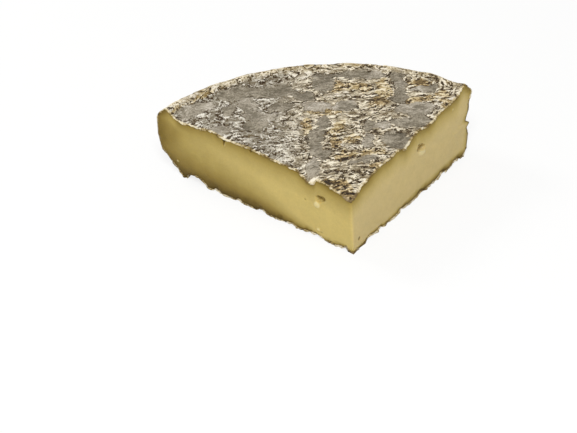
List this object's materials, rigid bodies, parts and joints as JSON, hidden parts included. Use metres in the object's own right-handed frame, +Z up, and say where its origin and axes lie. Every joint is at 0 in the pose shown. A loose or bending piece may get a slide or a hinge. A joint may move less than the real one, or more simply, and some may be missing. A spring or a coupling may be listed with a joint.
{
  "type": "saint nectaire quarter wheel",
  "caption": "Quarter of a round pressed cheese, cut to a wedge with a tip, with crinkled grey mould rind over smooth pale yellow paste, lying on its flat base.",
  "frame": {"origin": "on the flat base, under the middle of the cheese's box", "axes": "+Z up, -Y towards the tip of the wedge, +X to the right seen from the tip"},
  "size_m": [0.1536, 0.11, 0.0404],
  "materials": {
    "paste": "smooth, slightly moist cut cheese",
    "rind": "dry crinkled grey mould rind with ochre patches"
  },
  "bodies": {
    "root": {"quarter_wheel": "paste"}
  },
  "joints": []
}
